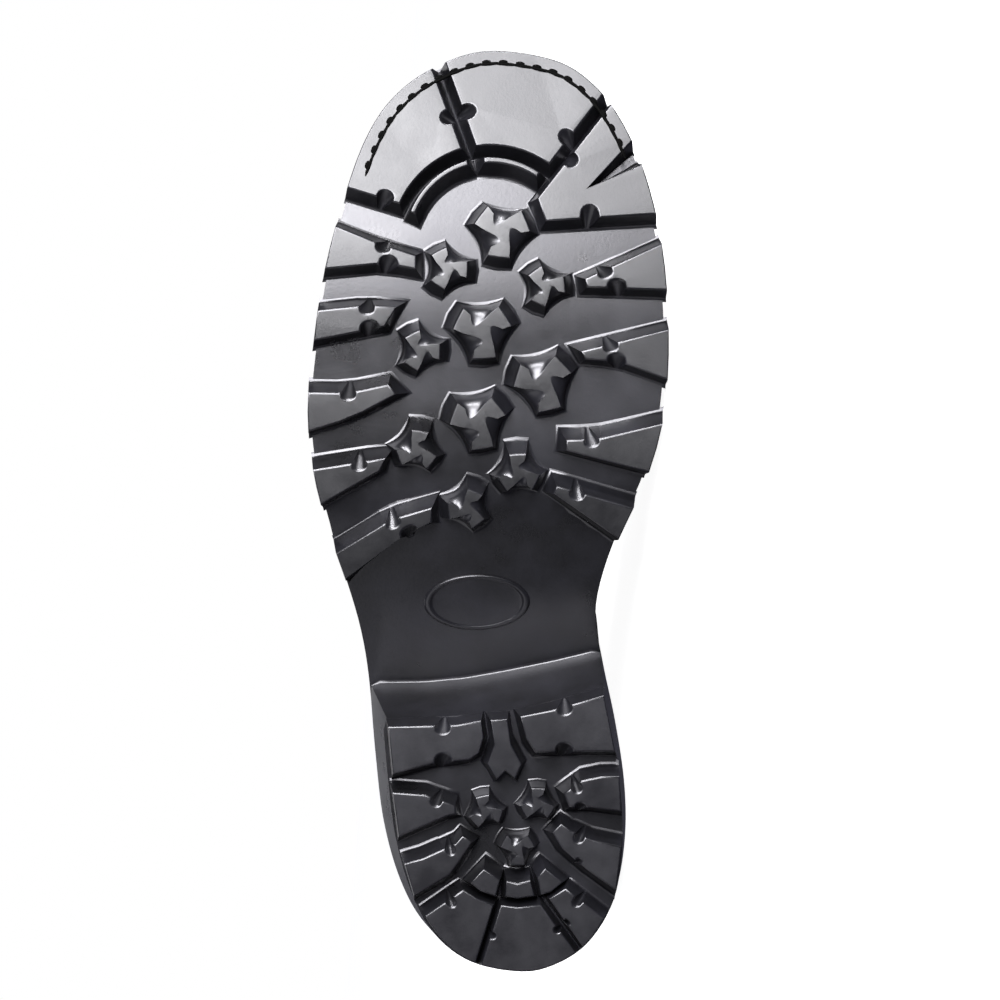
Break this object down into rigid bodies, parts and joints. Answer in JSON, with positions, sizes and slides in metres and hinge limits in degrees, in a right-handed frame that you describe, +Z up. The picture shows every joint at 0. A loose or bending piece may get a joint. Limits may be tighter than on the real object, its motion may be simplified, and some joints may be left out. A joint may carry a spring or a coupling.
{
  "type": "logger boot",
  "caption": "Tall lace-up work boot lying on its side: hollow leather upper on a welt, deep lugged rubber outsole, and a high tapered heel with a sloped breast.",
  "frame": {"origin": "bottom centre of the bounding box, on the floor under the boot's medial side", "axes": "+X towards the toe, +Y from the sole up the shaft towards the collar, +Z up from the floor (the boot's lateral side)"},
  "size_m": [0.3122, 0.2756, 0.1198],
  "materials": {
    "sole_rubber": "satin black moulded rubber with a light bloom",
    "welt_leather": "black edge-dressed leather",
    "upper_leather": "black full-grain leather, low sheen",
    "insole_board": "matt tan",
    "eyelet_metal": "black painted",
    "lace_cord": "black braided cord"
  },
  "bodies": {
    "root": {"outsole": "sole_rubber", "heel": "sole_rubber", "welt": "welt_leather", "insole": "insole_board", "upper": "upper_leather", "tongue": "upper_leather", "heel_counter": "upper_leather", "eyestay_lateral": "upper_leather", "eyestay_medial": "upper_leather", "lace": "lace_cord", "eyelet_lateral_1": "eyelet_metal", "eyelet_lateral_2": "eyelet_metal", "eyelet_lateral_3": "eyelet_metal", "eyelet_lateral_4": "eyelet_metal", "eyelet_lateral_5": "eyelet_metal", "eyelet_lateral_6": "eyelet_metal", "eyelet_lateral_7": "eyelet_metal", "eyelet_medial_1": "eyelet_metal", "eyelet_medial_2": "eyelet_metal", "eyelet_medial_3": "eyelet_metal", "eyelet_medial_4": "eyelet_metal", "eyelet_medial_5": "eyelet_metal", "eyelet_medial_6": "eyelet_metal", "eyelet_medial_7": "eyelet_metal"}
  },
  "joints": []
}
